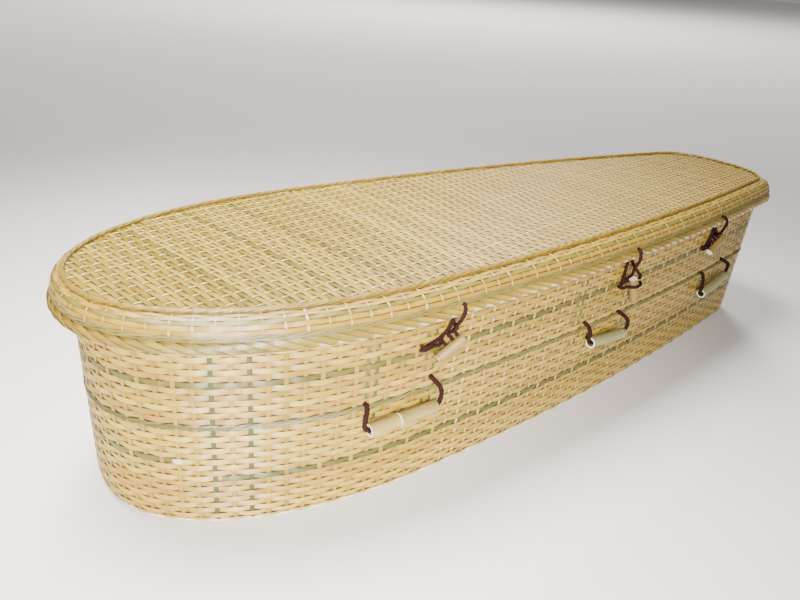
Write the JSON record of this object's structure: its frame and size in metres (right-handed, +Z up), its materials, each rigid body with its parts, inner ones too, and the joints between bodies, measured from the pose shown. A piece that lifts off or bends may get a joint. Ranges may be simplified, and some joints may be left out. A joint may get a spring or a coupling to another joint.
{
  "type": "woven bamboo coffin",
  "caption": "Tapered coffin woven from split bamboo, with a lift-off lid, plaited border, bamboo tube handles and toggles on brown cord.",
  "frame": {"origin": "on the ground under the middle of the lid's border, the centre of the part's plan box", "axes": "+X along the length from the wide head end to the narrow foot end, +Y across, +Z up"},
  "size_m": [1.9289, 0.6868, 0.4358],
  "materials": {
    "weave": "split bamboo strips, natural, satin",
    "plait": "split bamboo strips with green skin, satin",
    "band": "olive bamboo skin strands, satin",
    "hoop": "split bamboo, pith side, matt",
    "handle_cane": "bamboo cane, waxy green-grey skin",
    "toggle_cane": "peeled bamboo cane, satin",
    "cord": "twisted brown cord, matt"
  },
  "bodies": {
    "root": {"base_basket": "weave", "base_hoop": "hoop", "lid_shell": "weave", "lid_border": "plait", "lid_edge_band": "band", "handle_1": "handle_cane", "handle_2": "handle_cane", "handle_3": "handle_cane", "handle_4": "handle_cane", "handle_5": "handle_cane", "handle_6": "handle_cane", "toggle_1": "toggle_cane", "toggle_2": "toggle_cane", "toggle_3": "toggle_cane", "toggle_4": "toggle_cane", "toggle_5": "toggle_cane", "toggle_6": "toggle_cane", "handle_cord_1": "cord", "handle_cord_2": "cord", "handle_cord_3": "cord", "handle_cord_4": "cord", "handle_cord_5": "cord", "handle_cord_6": "cord", "toggle_cord_1": "cord", "toggle_cord_2": "cord", "toggle_cord_3": "cord", "toggle_cord_4": "cord", "toggle_cord_5": "cord", "toggle_cord_6": "cord", "lid_loop_1": "cord", "lid_loop_2": "cord", "lid_loop_3": "cord", "lid_loop_4": "cord", "lid_loop_5": "cord", "lid_loop_6": "cord"}
  },
  "joints": []
}
